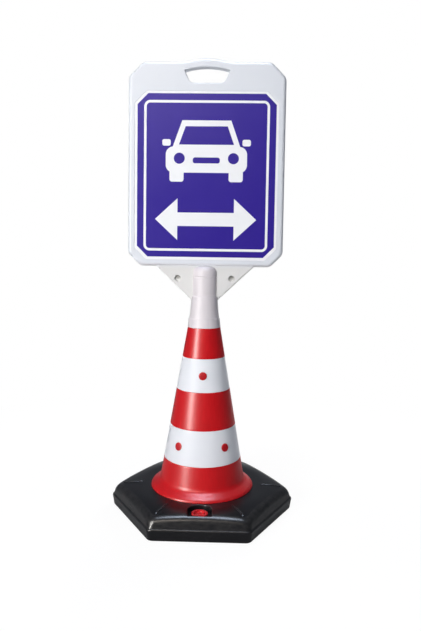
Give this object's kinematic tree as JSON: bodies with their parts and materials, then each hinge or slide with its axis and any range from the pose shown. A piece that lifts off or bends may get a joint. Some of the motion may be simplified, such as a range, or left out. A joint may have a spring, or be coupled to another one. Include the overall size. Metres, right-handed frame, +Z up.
{
  "type": "cone sign",
  "caption": "Traffic cone with white bands on a ballasted hexagonal base, carrying an upright moulded sign panel with a hand hole that slips over the cone's tip.",
  "frame": {"origin": "on the floor, on the upright axis of the cone", "axes": "+Z up along the cone, -Y toward the front of the sign, where the filler of the base is, +X to the right seen from the front"},
  "size_m": [0.5852, 0.51, 1.419],
  "materials": {
    "base_black": "satin",
    "ballast_sand": "matte",
    "plug_red": "satin",
    "gasket_rubber": "matte",
    "cone_red": "gloss",
    "band_white": "gloss",
    "button_red": "gloss",
    "sign_white": "satin",
    "print_blue": "satin"
  },
  "bodies": {
    "base": {"base_tank": "base_black", "sand_ballast": "ballast_sand"},
    "cone": {"cone_body": "cone_red", "lower_band": "band_white", "upper_band": "band_white", "lower_band_buttons": "button_red", "upper_band_buttons": "button_red"},
    "sign": {"sign_shell": "sign_white", "front_print_sheet": "print_blue", "rear_print_sheet": "print_blue"},
    "gasket": {"plug_gasket": "gasket_rubber"},
    "plug": {"filler_plug": "plug_red"}
  },
  "joints": [
    {"name": "cone_turn", "type": "hinge", "parent": "base", "child": "cone", "pos_m": [0, 0, 0.075], "axis": [0, 0, 1], "continuous": true},
    {"name": "sign_lift", "type": "slide", "parent": "cone", "child": "sign", "axis": [0, 0, 1], "range_m": [0, 0.18]},
    {"name": "plug_turn", "type": "hinge", "parent": "base", "child": "gasket", "pos_m": [0, -0.20506, 0.059], "axis": [0, 0, 1], "range_deg": [0, 1440]},
    {"name": "plug_lift", "type": "slide", "parent": "gasket", "child": "plug", "axis": [0, 0, 1], "range_m": [0, 0.012]}
  ],
  "couplings": [
    {"joint": "plug_lift", "follows": "plug_turn", "m_per_rad": 0.000477}
  ]
}
